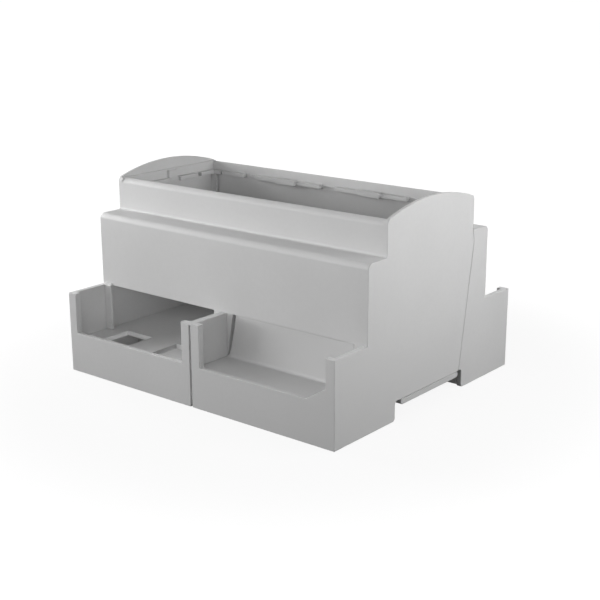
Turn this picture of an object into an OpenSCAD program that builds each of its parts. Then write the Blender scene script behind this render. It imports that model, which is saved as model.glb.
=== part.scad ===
// Modular enclosure for a 35 mm mounting rail: a stepped, arched housing with
// two terminal bays on each long side, open at the top for a front panel.
// X runs along the rail, Y across it and Z up from the feet. Millimetres.

/* [Enclosure] */
// Length along the rail, end wall to end wall
length = 106; // [88:1:160]
// Depth across the rail, from bay front to bay front
depth = 91; // [86:0.5:110]
// Height of the terminal bay walls
bay_h = 25.7; // [23:0.1:32]
// Depth of the middle section that carries the shoulders
mid_depth = 61.8; // [56:0.1:66]
// Height of the shoulders
shoulder_h = 48.9; // [42:0.1:60]
// Depth of the collar that passes through a panel cut-out
collar_depth = 44.6; // [43:0.1:48]
// Height of the collar rim on the long sides
rim_h = 59.3; // [56:0.1:70]
// Rise of the arched end walls above the rim
arch_rise = 3.6; // [2:0.1:6]
// Rounding of the shoulders and of the rim
edge_r = 1.8; // [0.8:0.1:2.2]
// Rounding of the arch where it meets the long sides
arch_corner_r = 1.6; // [0.8:0.1:2.4]

/* [Walls] */
// Thickness of the outer walls
wall = 1.6; // [1.2:0.1:1.8]
// Thickness of the arched tops of the end walls
arch_wall = 0.9; // [0.7:0.1:1.1]
// Height over which the seam runs straight down beside the collar
seam_drop = 3.4; // [2:0.1:6]
// How far the seam steps out behind the collar
seam_step = 0.9; // [0.4:0.1:1.6]

/* [Terminal bays] */
// Height of the lip at the front of each bay
lip_h = 12.8; // [12.4:0.1:16]
// Width of each pillar beside a bay cut-out
pillar_w = 3.1; // [2.4:0.1:4]
// Depth of each pillar, front to back
pillar_d = 1.9; // [1.9:0.1:3]
// Thickness of the divider between two bays
divider_t = 2.5; // [1.6:0.1:3.4]
// How far the divider runs on behind the middle wall
divider_tail = 4.4; // [4:0.1:7]
// Width of the groove between the two middle pillars
groove_w = 0.8; // [0.4:0.1:1.4]
// Depth of the groove between the two middle pillars
groove_d = 0.6; // [0.3:0.1:1.2]
// Width of the guide rib on the end wall at the back of each bay
jamb_w = 2.9; // [1.5:0.1:4]
// Size of the gusset where the divider meets the middle wall
gusset = 2.6; // [1.5:0.1:3]

/* [Base] */
// Height of the top of the deck
deck_h = 10.8; // [10:0.1:12]
// Thickness of the deck
deck_t = 1.5; // [1.2:0.1:2]
// Length of each terminal hole along the rail
hole_w = 11.2; // [6:0.1:13]
// Depth of each terminal hole across the rail
hole_d = 13.6; // [8:0.1:13.8]
// Web left between the two terminal holes of a bay
hole_web = 10.8; // [6:0.1:12]
// How far the terminal holes sit outwards from the middle of a bay
hole_shift = 1.1; // [0:0.1:2]
// Thickness of the ribs and webs under the deck
rib_t = 1.3; // [1:0.1:1.6]

/* [Rail] */
// Width of the mounting rail
rail_w = 35; // [35:0.1:35.4]
// Thickness of the flanges of the mounting rail
rail_t = 1; // [0.8:0.1:1.2]
// How far the rail slot sits behind the middle
rail_y = 0.6; // [0:0.1:1]
// Height of the face that the rail seats on
seat_h = 4.0; // [3.8:0.1:4.4]
// Thickness of the seat plate
seat_t = 1.7; // [1.4:0.1:1.9]
// Gap beside the seat plate in front of it and behind it
seat_gap = 2.5; // [2.4:0.1:3]
// Distance of each hook and latch from the middle
latch_x = 27.4; // [18:0.1:30]
// Width of each fixed hook
hook_w = 12; // [8:0.5:18]
// How far the hooks and latches reach under the rail flange
hook_reach = 2; // [1.5:0.1:2.1]

/* [Latches] */
// Width of each latch
latch_w = 10; // [9:0.5:14]
// Thickness of each latch
latch_t = 2; // [1.6:0.1:2]
// How far a latch slides back to free the rail
latch_travel = 3; // [2.5:0.1:3.5]

/* [Terminal covers] */
// Thickness of the leaning panel and of the floor
cover_t = 1.3; // [1:0.1:1.4]
// How far the panel leans back over the height of the bay
lean = 3; // [2.5:0.1:3.2]
// Width of the raised step at the outer end
step_w = 8.2; // [4:0.1:12]
// How much the cover's floor lies below the lip
floor_drop = 0.4; // [0.3:0.1:0.8]

/* [Rim fittings] */
// Height of the ledges that carry a front panel
ledge_h = 56.4; // [54:0.1:57]
// Thickness of the ledges
ledge_t = 1.3; // [1:0.1:1.8]
// How far the ledges stand out from the wall
ledge_out = 1.6; // [1:0.1:2.2]
// Length of each long ledge
ledge_l = 28; // [22:0.5:30]
// Gap between two long ledges
ledge_gap = 6; // [4:0.5:8]
// Length of the catch in the middle of each long ledge
catch_l = 8; // [5:0.5:12]
// Width of the square lug on each end wall
lug_w = 3.7; // [2.5:0.1:5]

/* [Fits] */
// Gap between two mouldings that snap together
snap_gap = 0.15; // [0.1:0.05:0.25]
// Gap around a latch that slides
slide_gap = 0.3; // [0.25:0.05:0.4]

/* [Hidden] */
$fn = 48;

shell_grey = [0.82, 0.83, 0.83];
cover_grey = [0.80, 0.81, 0.81];
base_grey = [0.76, 0.77, 0.77];
latch_grey = [0.70, 0.71, 0.71];

half_l = length / 2;
half_d = depth / 2;
half_mid = mid_depth / 2;
half_collar = collar_depth / 2;
inner_x = half_l - wall;

// The arched end: one circle through both rim corners and the peak.
arch_r = (half_collar * half_collar + arch_rise * arch_rise) / (2 * arch_rise);
arch_z = rim_h + arch_rise - arch_r;

// The rail slot in the end walls, and the seat plate inside it.
slot_front = rail_y - rail_w / 2 - snap_gap * 2;
slot_back = rail_y + rail_w / 2 + snap_gap * 2;
slot_h = seat_h + seat_t + snap_gap;
seat_front = slot_front + seat_gap + 0.5;
seat_back = slot_back - seat_gap + 0.4;
slot_r = 0.9;
foot_ease = 0.6;

// The seam between the two housings, from the collar to the rail slot.
seam_top = [half_collar, shoulder_h];
seam_knee = [half_collar + seam_step, shoulder_h - seam_drop];
seam_foot = [(seat_back + slot_back) / 2 - 0.6, slot_h];
rib_foot = seam_foot.y + (half_collar - wall + 0.6 - seam_foot.x)
    * (seam_knee.y - seam_foot.y) / (seam_knee.x - seam_foot.x);

// Terminal holes, mirrored about the middle of each bay.
bay_mid = (inner_x + divider_t / 2) / 2;
hole_mid = bay_mid + hole_shift;
hole_back = half_d - pillar_d - snap_gap - 0.5 - hole_d;

deck_y = half_d - pillar_d - snap_gap;
deck_x = inner_x - snap_gap;
hook_top = seat_h - rail_t - 0.1;
hook_bottom = 0.6;
latch_z = hook_top - latch_t;
guide_in = 1.2;
latch_tail = half_d - 0.3;
catch_out = 1.1;
stop_l = 3;

floor_h = lip_h - floor_drop;
panel_top = bay_h + 2.2;
slope = lean / (bay_h - floor_h);

// ---- shared helpers ----------------------------------------------------

// Extrudes a (y, z) outline along X from x0 to x1.
module along_x(x0, x1)
    translate([x0, 0, 0]) rotate([90, 0, 90]) linear_extrude(x1 - x0) children();

module block(x0, x1, y0, y1, z0, z1)
    translate([x0, y0, z0]) cube([x1 - x0, y1 - y0, z1 - z0]);

// A step of the outline: a block whose two top corners are rounded.
module rounded_step(w, h, r) {
    translate([-w / 2, -1]) square([w, h + 1 - r]);
    translate([r - w / 2, -1]) square([w - 2 * r, h + 1]);
    for (s = [-1, 1])
        translate([s * (w / 2 - r), h - r]) circle(r);
}

// The rest of a square corner outside a round of radius r at its origin.
module corner_waste(r)
    difference() {
        translate([0, 0]) square(r + 1);
        circle(r);
    }

// ---- outlines in (y, z) ------------------------------------------------

// The collar as the end walls show it, closed by the arch.
module arched_collar() {
    fc = [half_collar - arch_corner_r,
          arch_z + sqrt(pow(arch_r - arch_corner_r, 2) - pow(half_collar - arch_corner_r, 2))];
    // The corner round starts just past its tangent point on the arch.
    start_x = fc.x * arch_r / (arch_r - arch_corner_r) + 0.25;
    difference() {
        intersection() {
            translate([-half_collar, 0]) square([collar_depth, rim_h + arch_rise + 1]);
            translate([0, arch_z]) circle(arch_r, $fn = 240);
        }
        for (s = [0, 1])
            mirror([s, 0]) difference() {
                translate([start_x, fc.y]) square([half_collar + 1 - start_x, arch_corner_r + 1]);
                translate(fc) circle(arch_corner_r);
            }
    }
}

module rail_slot() {
    difference() {
        translate([slot_front, -1]) square([slot_back - slot_front, slot_h + 1]);
        for (s = [0, 1])
            translate([s == 0 ? slot_front + slot_r : slot_back - slot_r, slot_h - slot_r])
                mirror([1 - s, 0]) corner_waste(slot_r);
    }
    // The feet are eased where the rail snaps in.
    for (y = [slot_front, slot_back])
        polygon([[y - foot_ease, -0.01], [y + foot_ease, -0.01], [y, foot_ease]]);
}

// The whole end wall outline, both housings together.
module end_outline()
    difference() {
        union() {
            translate([-half_d, 0]) square([depth, bay_h]);
            intersection() {
                rounded_step(mid_depth, shoulder_h, edge_r);
                translate([-half_d, 0]) square([depth, shoulder_h]);
            }
            arched_collar();
        }
        rail_slot();
    }

// Everything behind the seam, shifted forward by gap.
module behind_seam(gap = 0)
    translate([-gap, 0]) polygon([
        [seam_top.x, shoulder_h + 2], seam_top, seam_knee, seam_foot, [seam_foot.x, -1],
        [half_d + 2, -1], [half_d + 2, shoulder_h + 2]]);

// The long walls above the bays: middle section, shoulders and collar.
module long_walls()
    difference() {
        union() {
            rounded_step(mid_depth, shoulder_h, edge_r);
            rounded_step(collar_depth, rim_h, edge_r);
        }
        rounded_step(mid_depth - 2 * wall, shoulder_h - wall, edge_r - wall / 2);
        translate([-half_collar + wall, -2]) square([collar_depth - 2 * wall, rim_h + 4]);
        translate([-half_d, -2]) square([depth, bay_h + 2]);
    }

// ---- bays, the same on both long sides -----------------------------------

// One long side of bays as it faces the front: lip, pillars, divider and ribs.
module bay_row() {
    difference() {
        union() {
            block(-half_l, half_l, -half_d, wall - half_d, 0, lip_h);
            for (s = [0, 1])
                mirror([s, 0, 0]) {
                    block(half_l - pillar_w, half_l, -half_d, pillar_d - half_d, 0, bay_h);
                    block(0, pillar_w + groove_w / 2, -half_d, pillar_d - half_d, 0, bay_h);
                }
        }
        block(-groove_w / 2, groove_w / 2, -half_d - 1, groove_d - half_d, -1, bay_h - groove_d);
    }
    block(-divider_t / 2, divider_t / 2, 1 - half_d, divider_tail - half_mid,
          deck_h + snap_gap, bay_h);
    block(-divider_t / 2, divider_t / 2, -half_mid + wall / 2, divider_tail - half_mid,
          bay_h - 1, bay_h + 3);
    for (s = [0, 1])
        mirror([s, 0, 0]) {
            block(inner_x - jamb_w, inner_x + 0.5, -half_mid, wall - half_mid,
                  deck_h + snap_gap, bay_h + 1);
            translate([0, -half_mid + wall, 0]) rotate([90, 0, 0]) linear_extrude(wall)
                polygon([[0, bay_h - gusset], [divider_t / 2, bay_h - gusset],
                         [divider_t / 2 + gusset, bay_h], [divider_t / 2 + gusset, bay_h + 1],
                         [0, bay_h + 1]]);
        }
}

// Catches on the lip that hold the deck from below, chamfered for entry.
module deck_catches() {
    z = deck_h - deck_t;
    pitch = hole_web / 2 + hole_w + 2;
    for (s = [-1, 1], k = [-1, 0, 1])
        along_x(s * (hole_mid + k * pitch) - 2, s * (hole_mid + k * pitch) + 2)
            polygon([[wall - half_d - 0.5, z], [catch_out - deck_y, z],
                     [catch_out - deck_y, z - 0.6], [wall - half_d - 0.5, z - 3]]);
}

// Tongues on the back housing that lap inside the end walls past the seam.
module seam_tongues()
    for (s = [0, 1], z = [17, 27])
        mirror([s, 0, 0]) {
            y_seam = seam_foot.x
                + (seam_knee.x - seam_foot.x) * (z - seam_foot.y) / (seam_knee.y - seam_foot.y);
            block(inner_x - snap_gap - rib_t, inner_x - snap_gap, y_seam - 4, y_seam + 6,
                  z - 3.5, z + 3.5);
            block(inner_x - snap_gap - 0.5, inner_x + 0.5, y_seam + 2.5, y_seam + 6,
                  z - 3.5, z + 3.5);
        }

// ---- fittings inside the collar -------------------------------------------

// Ledges and catches on the collar wall at the back; y_in is its inner face.
module wall_ledges(y_in) {
    pitch = ledge_l + ledge_gap;
    for (s = [-1, 1]) {
        x0 = s * pitch / 2;
        block(x0 - ledge_l / 2, x0 + ledge_l / 2, y_in - ledge_out, y_in + 0.5,
              ledge_h - ledge_t, ledge_h);
        block(x0 - catch_l / 2, x0 + catch_l / 2, y_in - ledge_out - 0.8, y_in - 0.6,
              ledge_h - ledge_t - 0.2, ledge_h + 0.3);
    }
    // The thin line that joins the ledges, and the short ledges near the ends.
    block(-pitch, pitch, y_in - 0.3, y_in + 0.5, ledge_h - 0.8, ledge_h - 0.2);
    short_x = pitch + ledge_gap / 2;
    for (s = [0, 1])
        mirror([s, 0, 0])
            block(short_x - 1, short_x + 9, y_in - ledge_out, y_in + 0.5,
                  ledge_h - ledge_t, ledge_h);
}

// Ledge, lug, tab and card rib on one end wall, drawn for the right end.
module end_fittings() {
    y_in = half_collar - wall;
    x_in = inner_x;
    for (s = [0, 1])
        mirror([0, s, 0]) {
            // Thin ledge, then a wider tab, then a corner tab that wraps round.
            block(x_in - 0.8, x_in + 0.5, -0.1, 3, ledge_h - ledge_t, ledge_h);
            block(x_in - ledge_out, x_in + 0.5, 2.6, 11, ledge_h - ledge_t, ledge_h);
            block(x_in - ledge_out, x_in + 0.5, 13, y_in + 0.5, ledge_h - ledge_t, ledge_h);
            block(x_in - 4.6, x_in + 0.5, y_in - ledge_out, y_in + 0.5,
                  ledge_h - ledge_t, ledge_h);
            // Card rib in the corner: down to the deck in front, to the seam behind.
            block(x_in - 2.4, x_in + 0.5, y_in - ledge_out + 0.2, y_in - 0.3,
                  s == 1 ? deck_h + snap_gap : rib_foot, ledge_h - ledge_t + 0.2);
        }
    block(x_in - 0.9, x_in + 0.5, -lug_w / 2, lug_w / 2, ledge_h - 0.2, rim_h - 0.3);
}

// ---- nodes -------------------------------------------------------------

module main_housing() color(shell_grey) {
    // End walls up to the seam, thinner above the rim.
    for (s = [0, 1])
        mirror([s, 0, 0]) difference() {
            along_x(inner_x, half_l) difference() {
                end_outline();
                behind_seam(snap_gap);
            }
            block(inner_x - 1, half_l - arch_wall, -half_collar - 1, half_collar + 1,
                  rim_h, rim_h + arch_rise + 1);
        }
    // Front long walls, and the back wall of the collar.
    along_x(-inner_x, inner_x) intersection() {
        long_walls();
        translate([-half_d, bay_h]) square([half_d, rim_h]);
    }
    along_x(-inner_x, inner_x) intersection() {
        long_walls();
        translate([half_collar - wall, shoulder_h - wall - 1.6]) square([wall, rim_h]);
    }
    bay_row();
    deck_catches();
    wall_ledges(half_collar - wall);
    mirror([0, 1, 0]) wall_ledges(half_collar - wall);
    for (s = [0, 1])
        mirror([s, 0, 0]) end_fittings();
}

module rear_housing() color(shell_grey) difference() {
    union() {
        for (s = [0, 1])
            mirror([s, 0, 0]) along_x(inner_x, half_l) intersection() {
                end_outline();
                behind_seam();
            }
        along_x(-inner_x, inner_x) intersection() {
            long_walls();
            translate([half_collar, bay_h]) square([half_d, shoulder_h - bay_h]);
        }
        mirror([0, 1, 0]) bay_row();
        mirror([0, 1, 0]) deck_catches();
        seam_tongues();
    }
    // Slots in the back wall for the tails of the latches.
    for (s = [-1, 1])
        block(s * latch_x - latch_w / 2 - slide_gap, s * latch_x + latch_w / 2 + slide_gap,
              half_d - pillar_d - 2, half_d + 1, -1, hook_top + slide_gap);
}

module deck_holes()
    for (sx = [0, 1], sy = [0, 1], k = [-1, 1])
        mirror([sx, 0, 0]) mirror([0, sy, 0])
            block(hole_mid + k * (hole_web + hole_w) / 2 - hole_w / 2,
                  hole_mid + k * (hole_web + hole_w) / 2 + hole_w / 2,
                  hole_back, hole_back + hole_d, deck_h - deck_t - 1, deck_h + 1);

// The seat plate with rounded long edges, through the slots in the end walls.
module seat_plate()
    along_x(-half_l, half_l) {
        r = seat_t / 2;
        translate([seat_front + r, seat_h]) square([seat_back - seat_front - 2 * r, seat_t]);
        for (y = [seat_front + r, seat_back - r])
            translate([y, seat_h + r]) circle(r);
    }

// Two guides that carry one latch, with a lip below and a ledge above it.
module latch_guides() {
    y0 = slot_back + rib_t;
    y1 = deck_y - 1.5;
    x_in = latch_w / 2 + slide_gap;
    for (s = [0, 1])
        mirror([s, 0, 0]) {
            block(x_in, x_in + rib_t, y0 - 0.5, y1, 0.1, deck_h - 1);
            block(x_in - guide_in, x_in + 0.5, y0 - 0.5, y1, 0.1, latch_z - slide_gap);
            block(x_in - guide_in, x_in + 0.5, y0 - 0.5, y1,
                  hook_top + slide_gap, hook_top + slide_gap + 1.2);
        }
    // Stop for the latch at the end of its travel.
    stop_y = y0 + slide_gap + stop_l + latch_travel + slide_gap;
    block(-x_in - 0.5, x_in + 0.5, stop_y, stop_y + rib_t, hook_top + slide_gap, deck_h - 1);
}

module base() color(base_grey) difference() {
    union() {
        block(-deck_x, deck_x, -deck_y, deck_y, deck_h - deck_t, deck_h);
        // Walls of the rail channel, and webs up from the seat plate.
        block(-deck_x, deck_x, slot_front - rib_t, slot_front, hook_bottom, deck_h - 0.5);
        block(-deck_x, deck_x, slot_back, slot_back + rib_t, hook_bottom, deck_h - 0.5);
        for (y = [seat_front + 0.6, seat_back - 0.6 - rib_t])
            block(-deck_x, deck_x, y, y + rib_t, seat_h + 0.5, deck_h - 0.5);
        seat_plate();
        // Fixed hooks under the front flange of the rail.
        for (s = [-1, 1])
            along_x(s * latch_x - hook_w / 2, s * latch_x + hook_w / 2)
                polygon([[slot_front - 0.5, hook_bottom], [slot_front + hook_reach * 0.4, hook_bottom],
                         [slot_front + hook_reach, hook_top - 0.7],
                         [slot_front + hook_reach, hook_top], [slot_front - 0.5, hook_top]]);
        for (s = [-1, 1])
            translate([s * latch_x, 0, 0]) latch_guides();
        // Stiffening ribs under the front of the deck.
        for (s = [-1, 1], x = [hole_mid, divider_t])
            block(s * x - rib_t / 2, s * x + rib_t / 2, 3 - deck_y,
                  slot_front - 0.5, hook_bottom + 1.5, deck_h - 0.5);
    }
    deck_holes();
    // Windows for the latches in the back wall of the rail channel.
    for (s = [-1, 1])
        block(s * latch_x - latch_w / 2 - slide_gap, s * latch_x + latch_w / 2 + slide_gap,
              slot_back - 1, slot_back + rib_t + 0.01, -1, hook_top + slide_gap);
}

// One cover, drawn for the right front bay: floor, bead, step and panel.
module terminal_cover() color(cover_grey) {
    x0 = divider_t / 2 + snap_gap;
    x1 = inner_x - snap_gap;
    x_panel = inner_x - jamb_w - snap_gap;
    y0 = pillar_d - half_d + snap_gap;
    y1 = -half_mid - 0.2;
    along_x(x0, x1) translate([y0, deck_h]) square([y1 - y0, floor_h - deck_h]);
    // Bead along the lip, rounded towards the floor.
    bead = lip_h - floor_h + 0.8;
    along_x(x0, x1) {
        translate([y0, deck_h]) square([bead, lip_h - 0.1 - deck_h]);
        translate([y0 + bead, lip_h - 0.1 - bead]) intersection() {
            circle(bead);
            square(bead);
        }
    }
    // Raised step at the outer end, level with the lip.
    block(x1 - step_w, x1, y0, y1, deck_h, lip_h);
    // Leaning panel, its foot and the catches behind the middle wall.
    along_x(x0, x_panel) polygon([
        [y1, deck_h], [y1, floor_h], [y1 + slope * (panel_top - floor_h), panel_top],
        [y1 + slope * (panel_top - floor_h) + cover_t, panel_top], [y1 + cover_t, floor_h],
        [y1 + cover_t, deck_h]]);
    along_x(x0, x_panel) translate([y1 - 0.4, floor_h - 0.1]) square([0.6, 0.5]);
    for (k = [-1, 0, 1])
        along_x(bay_mid + k * 14 - 3, bay_mid + k * 14 + 3)
            polygon([[wall - half_mid + 0.05, bay_h + 0.4],
                     [y1 + slope * (bay_h - floor_h) + 0.5, bay_h + 0.2],
                     [y1 + slope * (panel_top - floor_h) + 0.5, panel_top],
                     [wall - half_mid + 0.05, bay_h + 1.2]]);
}

module front_terminal_cover() terminal_cover();
module rear_terminal_cover() rotate(180) terminal_cover();

// One latch: a flat slider with a nose, a stop block and a tool slot.
module rail_latch(x) color(latch_grey) translate([x, 0, 0]) {
    nose = slot_back - hook_reach;
    y_stop = slot_back + rib_t + slide_gap;
    difference() {
        union() {
            along_x(-latch_w / 2, latch_w / 2) polygon([
                [nose, hook_top], [nose, hook_top - 0.6], [nose + hook_reach * 0.6, latch_z],
                [latch_tail, latch_z], [latch_tail, hook_top]]);
            block(-latch_w / 2 + guide_in + 0.6, latch_w / 2 - guide_in - 0.6,
                  y_stop, y_stop + stop_l, hook_top - 0.5, deck_h - deck_t - 0.8);
        }
        // Tool slot near the tail, and the two cuts that free a sprung tongue.
        block(-3, 3, latch_tail - 4.4, latch_tail - 2.6, -1, hook_top + 1);
        for (s = [-1, 1])
            block(s * 3.2 - 0.35, s * 3.2 + 0.35, y_stop + stop_l + 1.5, latch_tail - 7,
                  -1, hook_top + 1);
    }
}

module left_rail_latch() rail_latch(-latch_x);
module right_rail_latch() rail_latch(latch_x);

main_housing();
rear_housing();
base();
front_terminal_cover();
rear_terminal_cover();
left_rail_latch();
right_rail_latch();
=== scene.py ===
"""Looks of a stepped, arched enclosure that snaps onto a 35 mm mounting rail.

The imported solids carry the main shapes. This script gives each of them the
finish of its moulding, models the small forms that they show plainer, and adds
the floor, the lamps and the camera.
"""

import logging
import math
from dataclasses import dataclass, field
from enum import Enum
from typing import Any, Optional

import bpy
from mathutils import Matrix, Vector


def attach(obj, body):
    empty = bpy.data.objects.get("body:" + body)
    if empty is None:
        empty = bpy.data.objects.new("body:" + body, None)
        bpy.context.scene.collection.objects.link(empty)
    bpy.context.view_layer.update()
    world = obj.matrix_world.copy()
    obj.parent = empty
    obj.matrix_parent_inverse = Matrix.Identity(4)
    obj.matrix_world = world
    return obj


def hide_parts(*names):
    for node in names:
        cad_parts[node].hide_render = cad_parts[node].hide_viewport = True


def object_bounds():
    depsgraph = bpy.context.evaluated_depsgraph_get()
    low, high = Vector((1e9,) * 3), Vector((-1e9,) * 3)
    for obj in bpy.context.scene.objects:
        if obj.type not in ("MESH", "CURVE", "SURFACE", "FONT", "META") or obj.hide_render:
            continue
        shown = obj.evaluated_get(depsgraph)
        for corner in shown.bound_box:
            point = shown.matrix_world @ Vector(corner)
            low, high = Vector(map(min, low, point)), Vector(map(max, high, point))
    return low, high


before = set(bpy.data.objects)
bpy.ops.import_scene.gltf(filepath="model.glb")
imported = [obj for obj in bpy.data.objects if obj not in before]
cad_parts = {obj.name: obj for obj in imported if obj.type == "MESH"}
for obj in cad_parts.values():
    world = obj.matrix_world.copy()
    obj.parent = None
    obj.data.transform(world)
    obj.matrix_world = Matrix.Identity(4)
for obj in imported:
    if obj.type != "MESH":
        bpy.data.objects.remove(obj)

LOG = logging.getLogger("enclosure")
MM = 0.001
# Edges that turn by more than this many degrees stay sharp.
SMOOTH_ANGLE = 32
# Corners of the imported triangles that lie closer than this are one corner.
MERGE_MM = 0.002
# Joined forms reach this far into the housing, mm. Cuts, and the collar's foot,
# stop this far short of its faces, mm, so that no two faces lie in one plane.
BITE = 0.3
SKIN = 0.02
# Where the lamps aim, m: near the object's middle, or 22 mm above its top for the rim lamps.
MIDDLE = Vector((0.0, 0.0, 0.03))
RIM = Vector((0.0, 0.0, 0.085))
CAD_BOX = [list(map(float, corner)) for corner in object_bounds()]


# ---- colours and nodes ---------------------------------------------------

def linear(hex_colour: str) -> tuple[float, float, float, float]:
    """Turns an sRGB hex colour into linear RGBA.

    Args:
        hex_colour: Six hex digits, such as "C8C8C8".

    Returns:
        Red, green, blue and an alpha of one.
    """
    channels = [int(hex_colour[i:i + 2], 16) / 255 for i in (0, 2, 4)]
    parts = [c / 12.92 if c <= 0.04045 else ((c + 0.055) / 1.055) ** 2.4 for c in channels]
    return (parts[0], parts[1], parts[2], 1.0)


def add_node(tree: bpy.types.NodeTree, kind: str, settings: Optional[dict[str, Any]] = None,
             **inputs: Any) -> bpy.types.Node:
    """Adds one node with its settings and its inputs.

    Args:
        tree: The node tree that takes the node.
        kind: The node's type name.
        settings: Properties to set on the node.
        **inputs: Input name, with spaces as underscores, to a value or a socket.

    Returns:
        The new node.
    """
    node = tree.nodes.new(kind)
    for name, value in (settings or {}).items():
        setattr(node, name, value)
    for name, value in inputs.items():
        socket = node.inputs[int(name[1:])] if name[0] == "_" else node.inputs[name.replace("_", " ")]
        if isinstance(value, bpy.types.NodeSocket):
            tree.links.new(value, socket)
        else:
            socket.default_value = value
    return node


# ---- finishes ------------------------------------------------------------

class Slot(Enum):
    """The record's material slots."""

    SHELL = "shell"
    BASE = "base"
    COVER = "cover"
    LATCH = "latch"


class Along(Enum):
    """The direction that a prism runs in."""

    X = "X"
    Y = "Y"


class Change(Enum):
    """How a form changes the piece that it meets."""

    JOIN = "UNION"
    CUT = "DIFFERENCE"


@dataclass(frozen=True)
class MouldedPlastic:
    """A light grey plastic, injection moulded in a spark-eroded tool.

    Attributes:
        name: What the real material is.
        colour: Mean colour, sRGB hex.
        flow_colour: Colour that the melt's flow drifts to, sRGB hex.
        roughness: Mean roughness of the eroded texture.
        grain_mm: Size of one pit of the texture, drawn coarse enough to show.
        fleck_ratio: Size of the fine flecks of tone, in pits.
        grain_depth_mm: Depth of the pits.
        flow_mm: Size of the slow drift in tone from the melt's flow.
        edge_mm: Radius that the tool leaves on every edge.
    """

    name: str
    colour: str
    flow_colour: str
    roughness: float = 0.52
    grain_mm: float = 0.45
    fleck_ratio: float = 2.6
    grain_depth_mm: float = 0.012
    flow_mm: float = 38.0
    edge_mm: float = 0.28

    def build(self) -> bpy.types.Material:
        """Builds the material.

        Returns:
            The finished material.
        """
        material = bpy.data.materials.new(self.name)
        material.use_nodes = True
        tree = material.node_tree
        tree.nodes.clear()
        place = add_node(tree, "ShaderNodeTexCoord").outputs["Object"]
        # Tone drifts a little where the melt ran, in a large, soft mottle.
        flow = add_node(tree, "ShaderNodeTexNoise", Vector=place, Scale=1000 / self.flow_mm,
                        Detail=2.0, Roughness=0.55)
        speck = add_node(tree, "ShaderNodeTexNoise", Vector=place, Detail=1.0, Roughness=0.5,
                         Scale=1000 / (self.grain_mm * self.fleck_ratio))
        drift = add_node(tree, "ShaderNodeMapRange", _0=flow.outputs["Fac"], _1=0.35, _2=0.65)
        flecks = add_node(tree, "ShaderNodeMapRange", _0=speck.outputs["Fac"], _1=0.30, _2=0.72,
                          _3=0.0, _4=0.35)
        amount = add_node(tree, "ShaderNodeMath", {"operation": "ADD", "use_clamp": True},
                          _0=drift.outputs[0], _1=flecks.outputs[0])
        tone = add_node(tree, "ShaderNodeMix", {"data_type": "RGBA"}, Factor=amount.outputs[0])
        tone.inputs[6].default_value = linear(self.colour)
        tone.inputs[7].default_value = linear(self.flow_colour)
        # The eroded texture: fine pits that break up any reflection.
        grain = add_node(tree, "ShaderNodeTexNoise", Vector=place, Scale=1000 / self.grain_mm,
                         Detail=3.0, Roughness=0.6)
        gloss = add_node(tree, "ShaderNodeMapRange", _0=grain.outputs["Fac"], _1=0.3, _2=0.7,
                         _3=self.roughness - 0.05, _4=self.roughness + 0.07)
        edge = add_node(tree, "ShaderNodeBevel", {"samples": 6}, Radius=self.edge_mm / 1000)
        pits = add_node(tree, "ShaderNodeBump", Strength=0.35, Distance=self.grain_depth_mm / 1000,
                        Height=grain.outputs["Fac"], Normal=edge.outputs[0])
        shader = add_node(tree, "ShaderNodeBsdfPrincipled", Base_Color=tone.outputs[2],
                          Roughness=gloss.outputs[0], IOR=1.54, Normal=pits.outputs[0])
        add_node(tree, "ShaderNodeOutputMaterial", Surface=shader.outputs[0])
        return material


# ---- modelling -------------------------------------------------------------

def select_only(piece: bpy.types.Object) -> None:
    """Makes one piece the only selected object, and the active one.

    Args:
        piece: The piece.
    """
    bpy.ops.object.select_all(action="DESELECT")
    bpy.context.view_layer.objects.active = piece
    piece.select_set(True)


def hollow_corner(y: float, z: float, radius: float, steps: int = 6) -> list[tuple[float, float]]:
    """Rounds the inner corner where a floor meets a wall behind it.

    Args:
        y: The wall's face, mm.
        z: The floor's top, mm.
        radius: Radius of the round, mm.
        steps: Straight steps in the round.

    Returns:
        Points from the floor up to the wall, as (y, z), mm.
    """
    turns = [math.pi / (2 * steps) * k for k in range(steps + 1)]
    return [(y - radius + radius * math.sin(t), z + radius - radius * math.cos(t)) for t in turns]


def prism(name: str, outline: list[tuple[float, float]], along: Along, low: float,
          high: float) -> bpy.types.Object:
    """Models a prism: an outline drawn straight along X or Y.

    Args:
        name: Name of the new object.
        outline: Corners in mm, as (y, z) along X or as (x, z) along Y.
        along: The direction that it runs in.
        low: Where the prism starts, mm.
        high: Where it ends, mm.

    Returns:
        The closed prism, with its place in its mesh.
    """
    bpy.ops.object.select_all(action="DESELECT")
    bpy.ops.mesh.primitive_circle_add(vertices=len(outline), fill_type="NGON")
    piece = bpy.context.object
    piece.name = name
    for vertex, (across, up) in zip(piece.data.vertices, outline):
        place = (low, across, up) if along is Along.X else (across, low, up)
        vertex.co = Vector(place) * MM
    step = Vector((high - low, 0, 0) if along is Along.X else (0, high - low, 0)) * MM
    bpy.ops.object.mode_set(mode="EDIT")
    bpy.ops.mesh.select_all(action="SELECT")
    bpy.ops.mesh.extrude_region_move(TRANSFORM_OT_translate={"value": step})
    bpy.ops.mesh.select_all(action="SELECT")
    bpy.ops.mesh.quads_convert_to_tris()
    bpy.ops.mesh.normals_make_consistent(inside=False)
    bpy.ops.object.mode_set(mode="OBJECT")
    return piece


def block(name: str, low: tuple[float, float, float],
          high: tuple[float, float, float]) -> bpy.types.Object:
    """Models a block between two corners.

    Args:
        name: Name of the new object.
        low: Lowest corner, mm.
        high: Highest corner, mm.

    Returns:
        The block.
    """
    outline = [(low[1], low[2]), (high[1], low[2]), (high[1], high[2]), (low[1], high[2])]
    return prism(name, outline, Along.X, low[0], high[0])


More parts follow.
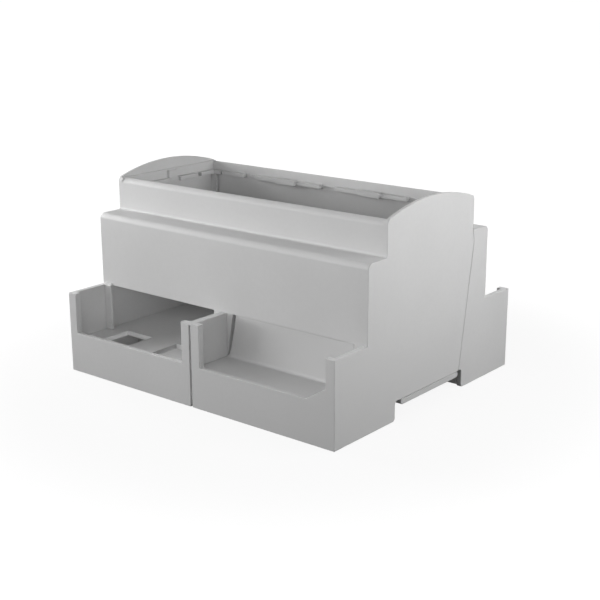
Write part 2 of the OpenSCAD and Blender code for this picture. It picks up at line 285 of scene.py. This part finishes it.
def carve(piece: bpy.types.Object, form: bpy.types.Object, change: Change) -> None:
    """Joins a form to a piece or cuts it away, and removes the form.

    Args:
        piece: The piece that changes.
        form: The closed solid to join or to cut away.
        change: Which of the two.
    """
    select_only(piece)
    step = piece.modifiers.new("change", "BOOLEAN")
    step.operation = change.value
    step.solver = "EXACT"
    step.object = form
    bpy.ops.object.modifier_apply(modifier=step.name)
    bpy.data.objects.remove(form, do_unlink=True)


def turn_round(piece: bpy.types.Object) -> None:
    """Turns a piece half round the vertical axis, to the other long side.

    Args:
        piece: The piece to turn.
    """
    select_only(piece)
    bpy.ops.transform.rotate(value=math.pi, orient_axis="Z", center_override=(0.0, 0.0, 0.0))
    bpy.ops.object.transform_apply(location=True, rotation=True, scale=True)


def merged_copy(node: str, name: str) -> bpy.types.Object:
    """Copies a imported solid's surface and merges its triangles.

    Args:
        node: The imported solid.
        name: Name of the copy.

    Returns:
        The copy, closed and free of any parent.
    """
    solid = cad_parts[node]
    copy = bpy.data.objects.new(name, solid.data.copy())
    bpy.context.collection.objects.link(copy)
    select_only(copy)
    bpy.ops.object.mode_set(mode="EDIT")
    bpy.ops.mesh.select_all(action="SELECT")
    bpy.ops.mesh.remove_doubles(threshold=MERGE_MM * MM)
    bpy.ops.object.mode_set(mode="OBJECT")
    if copy.data.has_custom_normals:
        bpy.ops.mesh.customdata_custom_splitnormals_clear()
    return copy


def paint(node: str, material: bpy.types.Material) -> bpy.types.Object:
    """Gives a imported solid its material.

    Args:
        node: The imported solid.
        material: Its material.

    Returns:
        The solid's object.
    """
    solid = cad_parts[node]
    solid.data.materials.clear()
    solid.data.materials.append(material)
    return solid


def finish_piece(piece: bpy.types.Object, material: bpy.types.Material,
                 nodes: tuple[str, ...]) -> bpy.types.Object:
    """Smooths a new piece, gives it its finish and seats it on the enclosure.

    Args:
        piece: The finished shape.
        material: Its material.
        nodes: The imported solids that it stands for; they get the same material.

    Returns:
        The piece.
    """
    for node in nodes:
        paint(node, material)
    select_only(piece)
    bpy.ops.object.shade_smooth_by_angle(angle=math.radians(SMOOTH_ANGLE))
    flats = piece.modifiers.new("flats stay flat", "WEIGHTED_NORMAL")
    flats.keep_sharp = True
    bpy.ops.object.modifier_apply(modifier=flats.name)
    piece.data.materials.clear()
    piece.data.materials.append(material)
    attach(piece, "enclosure")
    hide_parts(*nodes)
    LOG.info("%s: %d faces, stands for %s", piece.name, len(piece.data.polygons), ", ".join(nodes))
    return piece


# ---- sub-assemblies ------------------------------------------------------

@dataclass
class Moulding:
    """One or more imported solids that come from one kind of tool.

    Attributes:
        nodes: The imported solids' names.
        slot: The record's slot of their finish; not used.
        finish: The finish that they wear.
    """

    nodes: tuple[str, ...]
    slot: Slot
    finish: MouldedPlastic

    def dress(self) -> list[bpy.types.Object]:
        """Gives each solid its finish.

        Returns:
            The dressed objects.
        """
        material = self.finish.build()
        dressed = []
        for node in self.nodes:
            dressed.append(paint(node, material))
            LOG.info("%s: %s", node, self.finish.name)
        return dressed


@dataclass
class Housings(Moulding):
    """The two housings that snap together along the slanted seam.

    Attributes:
        half_l: Half the length, mm.
        half_d: Half the depth, mm.
        pillar_w: Width of the pillar beside a cut-out.
        wall: Thickness of the end walls, mm.
        wall_y: Front face of the middle wall, mm in front of the middle.
        bay_h: Height of the lower edge of the middle wall.
        lip_h: Height of the lip at the front of a bay.
        web_x: Where the web in the cut-out's outer corner starts on the lip.
        web_h: Height of that web above the lip, at the pillar.
        deck_top: Where the ribs and strips at the back of a bay start.
        divider_x: Half the thickness of the divider between two bays.
        strip_w: Width of the strip beside the divider in an open bay.
        gusset_w: Width, at the top, of the tapered gusset in a covered bay.
        jamb_y: Front face of the guide rib in an open bay.
        jamb_t: Thickness of that rib.
        jamb_w: Width of that rib.
        seat_drop: How far the seat that ties that rib to the middle wall reaches below the wall.
        old_jamb_w: Width that is cut away for it.
        rib_y: Middle of the card ribs in the front corners.
        rib_cut: Depth and half width of the cut that shortens them.
        rib_end: Height at which those ribs end.
        foot_r: Radius where the collar rises from the front shoulder.
        collar_y: Front face of the collar, mm in front of the middle.
        shoulder_h: Height of the shoulder.
    """

    nodes: tuple[str, ...] = ("main_housing", "rear_housing")
    slot: Slot = Slot.SHELL
    finish: MouldedPlastic = MouldedPlastic("PC-ABS shell, eroded texture", "CDCDCD", "C9C9C9")
    half_l: float = 53.0
    half_d: float = 45.5
    pillar_w: float = 3.1
    wall: float = 1.6
    wall_y: float = 30.9
    bay_h: float = 25.7
    lip_h: float = 12.8
    web_x: float = 43.0
    web_h: float = 4.3
    deck_top: float = 10.95
    divider_x: float = 1.25
    strip_w: float = 2.65
    gusset_w: float = 2.35
    jamb_y: float = 31.9
    jamb_t: float = 0.8
    jamb_w: float = 2.8
    seat_drop: float = 1.2
    old_jamb_w: float = 3.2
    rib_y: float = 19.85
    rib_cut: tuple[float, float] = (2.8, 0.9)
    rib_end: float = 31.0
    foot_r: float = 0.7
    collar_y: float = 22.3
    shoulder_h: float = 48.9

    def bay_forms(self) -> list[tuple[Change, bpy.types.Object]]:
        """Models what differs at the front and at the back of the front bays.

        Returns:
            Each form with how it changes the housing.
        """
        return [(Change.JOIN, self.corner_web()), *self.guide_rib(), (Change.JOIN, self.strip()),
                (Change.JOIN, self.gusset())]

    def corner_web(self) -> bpy.types.Object:
        """Models the web in the outer lower corner of the covered bay's cut-out.

        Returns:
            The web.
        """
        pillar = self.half_l - self.pillar_w
        top = self.lip_h + self.web_h
        return prism("corner web", [
            (self.web_x - 0.2, self.lip_h - BITE), (pillar + BITE, self.lip_h - BITE),
            (pillar + BITE, top), (pillar, top), (self.web_x, self.lip_h)],
            Along.Y, 0.01 - self.half_d, self.wall - self.half_d)

    def guide_rib(self) -> list[tuple[Change, bpy.types.Object]]:
        """Models the thinner guide rib in the open bay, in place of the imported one.

        Returns:
            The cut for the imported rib, the new rib, and its seat under the middle wall.
        """
        end = self.wall - self.half_l
        wall_back = self.wall - self.wall_y
        rib_back = self.jamb_t - self.jamb_y
        old = block("old rib", (end + SKIN, -self.wall_y - 0.1, self.deck_top - 0.5),
                    (end + self.old_jamb_w, wall_back + 0.1, self.bay_h - SKIN))
        rib = block("guide rib", (end - 0.4, -self.jamb_y, self.deck_top),
                    (end + self.jamb_w, rib_back, self.bay_h))
        seat = block("rib seat", (end - 0.4, rib_back - BITE, self.bay_h - self.seat_drop),
                     (end + self.jamb_w, wall_back - 0.2, self.bay_h + 0.6))
        return [(Change.CUT, old), (Change.JOIN, rib), (Change.JOIN, seat)]

    def strip(self) -> bpy.types.Object:
        """Models the strip beside the divider, at the back of the open bay.

        Returns:
            The strip.
        """
        return block("strip", (-self.divider_x - self.strip_w, -self.wall_y - 0.01, self.deck_top),
                     (-self.divider_x + BITE, self.wall - self.wall_y - 0.03, self.bay_h + 0.4))

    def gusset(self) -> bpy.types.Object:
        """Models the tapered gusset beside the divider, at the back of the covered bay.

        Returns:
            The gusset.
        """
        side, foot, top = self.divider_x, self.deck_top + 1.0, self.bay_h + 0.4
        return prism("gusset", [
            (side - BITE, foot), (side + 0.1, foot), (side + self.gusset_w, self.bay_h),
            (side + self.gusset_w, top), (side - BITE, top)],
            Along.Y, -self.wall_y - 0.01, self.wall - self.wall_y - 0.03)

    def collar_forms(self) -> list[tuple[Change, bpy.types.Object]]:
        """Models what differs on the front housing above the bays.

        Returns:
            Each form with how it changes the housing.
        """
        inner = self.half_l - self.wall
        deep, half = self.rib_cut
        changes = []
        for side in (-1, 1):
            near, far = sorted((side * (inner - deep), side * (inner - SKIN)))
            changes.append((Change.CUT, block(
                "rib end", (near, -self.rib_y - half, self.deck_top - 0.5),
                (far, -self.rib_y + half, self.rib_end))))
        y, z, r = -self.collar_y, self.shoulder_h, self.foot_r
        foot = prism("collar foot", [
            (y + BITE, z - BITE), (y - r, z - BITE), *hollow_corner(y, z, r), (y + BITE, z + r)],
            Along.X, SKIN - self.half_l, self.half_l - SKIN)
        changes.append((Change.JOIN, foot))
        return changes

    def dress(self) -> list[bpy.types.Object]:
        """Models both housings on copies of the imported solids.

        Returns:
            The two pieces.
        """
        material = self.finish.build()
        pieces = []
        for node in self.nodes:
            piece = merged_copy(node, node + "_moulding")
            changes = self.bay_forms()
            if node == "main_housing":
                changes += self.collar_forms()
            for change, form in changes:
                if node == "rear_housing":
                    turn_round(form)
                carve(piece, form, change)
            pieces.append(finish_piece(piece, material, (node,)))
        return pieces


@dataclass
class RailBase(Moulding):
    """The base with the deck, the seat plate and the fixed hooks."""

    nodes: tuple[str, ...] = ("base",)
    slot: Slot = Slot.BASE
    finish: MouldedPlastic = MouldedPlastic("PC-ABS base, eroded texture", "C6C6C6", "C2C2C2",
                                            roughness=0.56)


@dataclass
class TerminalCovers(Moulding):
    """The inserts that close one bay on each long side.

    Attributes:
        x_low: Inner end of the floor, mm.
        x_high: Outer end of the floor.
        panel_end: Outer end of the upright panel.
        edge_foot: Inner edge of the panel at its foot.
        edge_top: Inner edge of the panel at its top.
        foot_h: Height at which the slanted edge starts.
        front_y: Front edge of the floor, mm in front of the middle.
        lip_y: Front edge of the floor between the pillars.
        pillar_low: Where the floor clears the inner pillar.
        pillar_high: Where the floor clears the outer pillar.
        deck_h: Underside of the floor.
        floor_h: Top of the floor.
        panel_y: Face of the panel at its foot.
        top_y: Face of the panel at its top.
        top_h: Height of the panel.
        panel_t: Thickness of the panel.
        sag: How far the panel's face curves back.
        face_steps: Straight steps in that curve.
        foot_r: Radius between the floor and the panel.
        catch_x: Middles of the catches behind the wall.
        catch_half: Half the length of a catch.
        catch_out: Where a catch starts and ends behind the panel.
        catch_h: Height of a catch above the panel.
    """

    nodes: tuple[str, ...] = ("front_terminal_cover", "rear_terminal_cover")
    slot: Slot = Slot.COVER
    finish: MouldedPlastic = MouldedPlastic("PC-ABS cover, eroded texture", "C9C9C9", "C5C5C5",
                                            roughness=0.50)
    x_low: float = 1.4
    x_high: float = 51.25
    panel_end: float = 48.35
    edge_foot: float = 2.6
    edge_top: float = 5.0
    foot_h: float = 13.5
    front_y: float = 43.45
    lip_y: float = 43.8
    pillar_low: float = 3.65
    pillar_high: float = 49.75
    deck_h: float = 10.8
    floor_h: float = 12.35
    panel_y: float = 31.2
    top_y: float = 30.85
    top_h: float = 25.66
    panel_t: float = 1.2
    sag: float = 0.15
    face_steps: int = 8
    foot_r: float = 0.9
    catch_x: tuple[float, ...] = (12.3, 26.3, 40.3)
    catch_half: float = 3.0
    catch_out: tuple[float, float] = (0.9, 1.5)
    catch_h: float = 2.4

    def panel_outline(self) -> list[tuple[float, float]]:
        """Gives the panel's section with its rounded foot.

        Returns:
            Corners as (y, z), mm.
        """
        r = self.foot_r
        low = self.floor_h + r
        back = self.panel_t - self.panel_y
        face = []
        for k in range(1, self.face_steps + 1):
            share = k / self.face_steps
            bow = self.sag * 4 * share * (1 - share)
            face.append((-self.panel_y + (self.panel_y - self.top_y) * share + bow,
                         low + (self.top_h - low) * share))
        return [(-self.panel_y - r, self.deck_h), *hollow_corner(-self.panel_y, self.floor_h, r), *face,
                (self.panel_t - self.top_y, self.top_h), (back, low), (back, self.deck_h)]

    def slant_edge(self, panel: bpy.types.Object) -> None:
        """Slants the inner edge of the panel, away from the divider.

        Args:
            panel: The panel as a plain prism.
        """
        slant = (self.edge_top - self.edge_foot) / (self.top_h - self.foot_h)
        for vertex in panel.data.vertices:
            height = vertex.co.z / MM
            if vertex.co.x < (self.x_low + 1) * MM and height > self.floor_h + 0.01:
                start = min(1.0, (height - self.floor_h) / (self.foot_h - self.floor_h))
                edge = self.x_low + (self.edge_foot - self.x_low) * start
                vertex.co.x = (edge + slant * max(0.0, height - self.foot_h)) * MM

    def catch(self, x: float) -> bpy.types.Object:
        """Models one catch that hooks behind the middle wall.

        Args:
            x: Middle of the catch, mm.

        Returns:
            The catch.
        """
        back = self.panel_t - self.panel_y
        near, far = self.catch_out
        root, tip = back - 0.2, self.top_h + self.catch_h
        return prism("catch", [
            (root, self.top_h - 2.9), (back + far, self.top_h - 1.1), (back + far, tip),
            (back + near, tip), (back + near, self.top_h - 0.4), (root, self.top_h - 0.4)],
            Along.X, x - self.catch_half, x + self.catch_half)

    def cover(self, name: str) -> bpy.types.Object:
        """Models one cover for the right front bay.

        Args:
            name: Name of the piece.

        Returns:
            The cover.
        """
        piece = prism(name, self.panel_outline(), Along.X, self.x_low, self.panel_end)
        self.slant_edge(piece)
        back = self.panel_t - self.panel_y
        parts = [
            block("floor", (self.x_low, -self.front_y, self.deck_h),
                  (self.x_high, back - 0.2, self.floor_h)),
            block("tongue", (self.pillar_low, -self.lip_y, self.deck_h + 0.1),
                  (self.pillar_high, 0.4 - self.front_y, self.floor_h)),
            *(self.catch(x) for x in self.catch_x),
        ]
        for part in parts:
            carve(piece, part, Change.JOIN)
        return piece

    def dress(self) -> list[bpy.types.Object]:
        """Models the front cover, and turns a copy of it round for the back.

        Returns:
            The two covers.
        """
        material = self.finish.build()
        front_node, rear_node = self.nodes
        front = self.cover(front_node + "_insert")
        rear = bpy.data.objects.new(rear_node + "_insert", front.data.copy())
        bpy.context.collection.objects.link(rear)
        turn_round(rear)
        return [finish_piece(front, material, (front_node,)),
                finish_piece(rear, material, (rear_node,))]


@dataclass
class RailLatches(Moulding):
    """The two sliding latches under the back bays."""

    nodes: tuple[str, ...] = ("left_rail_latch", "right_rail_latch")
    slot: Slot = Slot.LATCH
    finish: MouldedPlastic = MouldedPlastic("Acetal latch, satin moulded", "BEBEBE", "BABABA",
                                            roughness=0.42, grain_depth_mm=0.006)


# ---- studio --------------------------------------------------------------

def direction(azimuth: float, elevation: float) -> Vector:
    """Gives the unit vector from the object towards a place round it.

    Args:
        azimuth: Degrees round the object; 0 is the front, 90 the right end.
        elevation: Degrees above the floor.

    Returns:
        The unit vector.
    """
    a, e = math.radians(azimuth), math.radians(elevation)
    return Vector((math.sin(a) * math.cos(e), -math.cos(a) * math.cos(e), math.sin(e)))


@dataclass
class Lamp:
    """A soft box that faces a point on the object.

    Attributes:
        name: What the lamp does.
        azimuth: Degrees round the object; 0 is the front, 90 the right end.
        elevation: Degrees above the floor.
        reach: Distance from the target, m.
        width: Width of the soft box, m.
        height: Height of the soft box, m.
        watts: Power.
        target: The point that it faces, m.
    """

    name: str
    azimuth: float
    elevation: float
    reach: float
    width: float
    height: float
    watts: float
    target: Vector = field(default_factory=lambda: MIDDLE)

    def build(self) -> bpy.types.Object:
        """Adds the lamp.

        Returns:
            The lamp object.
        """
        data = bpy.data.lights.new(self.name, "AREA")
        data.shape = "RECTANGLE"
        data.size = self.width
        data.size_y = self.height
        data.energy = self.watts
        lamp = bpy.data.objects.new(self.name, data)
        away = direction(self.azimuth, self.elevation)
        lamp.location = self.target + away * self.reach
        lamp.rotation_euler = (-away).to_track_quat("-Z", "Y").to_euler()
        bpy.context.collection.objects.link(lamp)
        return lamp


@dataclass
class Studio:
    """The pale floor, the world, the lamps and the camera.

    Attributes:
        floor_size: Side of the floor, m.
        floor_gap: How far the floor lies below the lowest corner, m.
        floor_seen: Floor colour that the camera sees, sRGB hex.
        floor_bounce: Floor colour that lights the object, sRGB hex.
        painted_shadow_depth: How much darker than white the painted shadow on the floor is near the
            middle.
        painted_shadow_reach: Distance from the middle at which the painted shadow has faded, m.
        world_strength: Strength of the world on the object.
        lamps: The lamps.
        azimuth: The camera's degrees round the object.
        elevation: The camera's degrees above the floor.
        roll: The camera's turn about its own axis, degrees.
        reach: Distance from the camera to its target, m.
        target: The point that the camera faces, m.
        lens_mm: Focal length on a 36 mm sensor.
    """

    floor_size: float = 6.0
    floor_gap: float = 0.0002
    floor_seen: str = "FFFFFF"
    floor_bounce: str = "484848"
    painted_shadow_depth: float = 0.10
    painted_shadow_reach: float = 0.16
    world_strength: float = 0.12
    lamps: list[Lamp] = field(default_factory=lambda: [
        Lamp("low front left", -45.0, 4.0, 0.9, 0.5, 0.12, 1.99),
        Lamp("high right behind", 120.0, 45.0, 0.9, 0.5, 0.5, 0.64),
        Lamp("fill left", -90.0, 22.0, 0.9, 0.5, 0.5, 1.8),
        Lamp("fill behind", 210.0, 22.0, 0.9, 0.5, 0.5, 1.8),
        Lamp("rim left", -75.0, 3.0, 0.2, 0.12, 0.08, 0.304, RIM),
        Lamp("rim front left", -15.0, 3.0, 0.2, 0.12, 0.08, 0.059, RIM),
        Lamp("rim front right", 15.0, 3.0, 0.2, 0.12, 0.08, 0.079, RIM),
        Lamp("rim right", 75.0, 3.0, 0.2, 0.12, 0.08, 0.072, RIM),
        Lamp("rim right behind", 105.0, 3.0, 0.2, 0.12, 0.08, 0.206, RIM),
        # The lit table shines up into the open base.
        Lamp("table glow", 0.0, -90.0, 0.0105, 0.02, 0.02, 0.0022,
             Vector((-0.0275, -0.031, 0.011))),
    ])
    azimuth: float = 39.171
    elevation: float = 16.149
    roll: float = -0.163
    reach: float = 0.373671
    target: Vector = field(default_factory=lambda: Vector((0.004233, 0.0, 0.023279)))
    lens_mm: float = 70.918

    def build_floor(self) -> bpy.types.Object:
        """Adds the floor under the object.

        Returns:
            The floor object.
        """
        bpy.ops.object.select_all(action="DESELECT")
        bpy.ops.mesh.primitive_plane_add(size=self.floor_size,
                                         location=(0.0, 0.0, CAD_BOX[0][2] - self.floor_gap))
        floor = bpy.context.object
        floor.name = "floor"
        bpy.ops.object.transform_apply(location=True, rotation=True, scale=True)
        material = bpy.data.materials.new("Matt studio paper")
        material.use_nodes = True
        tree = material.node_tree
        tree.nodes.clear()
        bounce = add_node(tree, "ShaderNodeBsdfDiffuse", Color=linear(self.floor_bounce))
        # The camera sees white paper with a painted shadow: its own light dims a little towards the
        # middle, under the object, whatever the lamps do.
        place = add_node(tree, "ShaderNodeTexCoord").outputs["Object"]
        middle = add_node(tree, "ShaderNodeVectorMath", {"operation": "LENGTH"}, _0=place)
        glow = add_node(tree, "ShaderNodeMapRange", {"interpolation_type": "SMOOTHSTEP"},
                        _0=middle.outputs["Value"], _1=self.painted_shadow_reach / 2, _2=self.painted_shadow_reach,
                        _3=1.0 - self.painted_shadow_depth, _4=1.02)
        light = add_node(tree, "ShaderNodeEmission", Color=linear(self.floor_seen),
                         Strength=glow.outputs[0])
        white = add_node(tree, "ShaderNodeAddShader", _0=light.outputs[0], _1=bounce.outputs[0])
        ray = add_node(tree, "ShaderNodeLightPath")
        both = add_node(tree, "ShaderNodeMixShader", _0=ray.outputs["Is Camera Ray"],
                        _1=bounce.outputs[0], _2=white.outputs[0])
        add_node(tree, "ShaderNodeOutputMaterial", Surface=both.outputs[0])
        floor.data.materials.append(material)
        return floor

    def build_world(self) -> bpy.types.World:
        """Sets the world: plain light on the object, white to the camera.

        Returns:
            The world.
        """
        world = bpy.data.worlds.new("studio")
        bpy.context.scene.world = world
        world.use_nodes = True
        tree = world.node_tree
        tree.nodes.clear()
        ray = add_node(tree, "ShaderNodeLightPath")
        plain = add_node(tree, "ShaderNodeBackground", Color=(1, 1, 1, 1), Strength=self.world_strength)
        white = add_node(tree, "ShaderNodeBackground", Color=(1, 1, 1, 1), Strength=1.0)
        both = add_node(tree, "ShaderNodeMixShader", _0=ray.outputs["Is Camera Ray"],
                        _1=plain.outputs[0], _2=white.outputs[0])
        add_node(tree, "ShaderNodeOutputWorld", Surface=both.outputs[0])
        return world

    def build_camera(self) -> bpy.types.Object:
        """Adds the camera and makes it the scene's camera.

        Returns:
            The camera object.
        """
        a, e = math.radians(self.azimuth), math.radians(self.elevation)
        away = direction(self.azimuth, self.elevation)
        data = bpy.data.cameras.new("camera")
        data.lens = self.lens_mm
        data.sensor_width = 36.0
        data.clip_start = 0.01
        data.clip_end = 20.0
        camera = bpy.data.objects.new("camera", data)
        turn = (Matrix.Rotation(a, 4, "Z") @ Matrix.Rotation(math.pi / 2 - e, 4, "X")
                @ Matrix.Rotation(math.radians(self.roll), 4, "Z"))
        camera.matrix_world = Matrix.Translation(self.target + away * self.reach) @ turn
        bpy.context.collection.objects.link(camera)
        bpy.context.scene.camera = camera
        return camera

    def build(self) -> None:
        """Builds the whole studio."""
        bpy.context.scene.view_settings.view_transform = "Standard"
        self.build_floor()
        self.build_world()
        for lamp in self.lamps:
            lamp.build()
        self.build_camera()
        LOG.info("studio: %d lamps", len(self.lamps))


def main() -> None:
    """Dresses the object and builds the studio."""
    logging.basicConfig(level=logging.INFO, format="%(name)s: %(message)s")
    for part in (Housings(), RailBase(), TerminalCovers(), RailLatches()):
        part.dress()
    Studio().build()


if __name__ == "__main__":
    main()
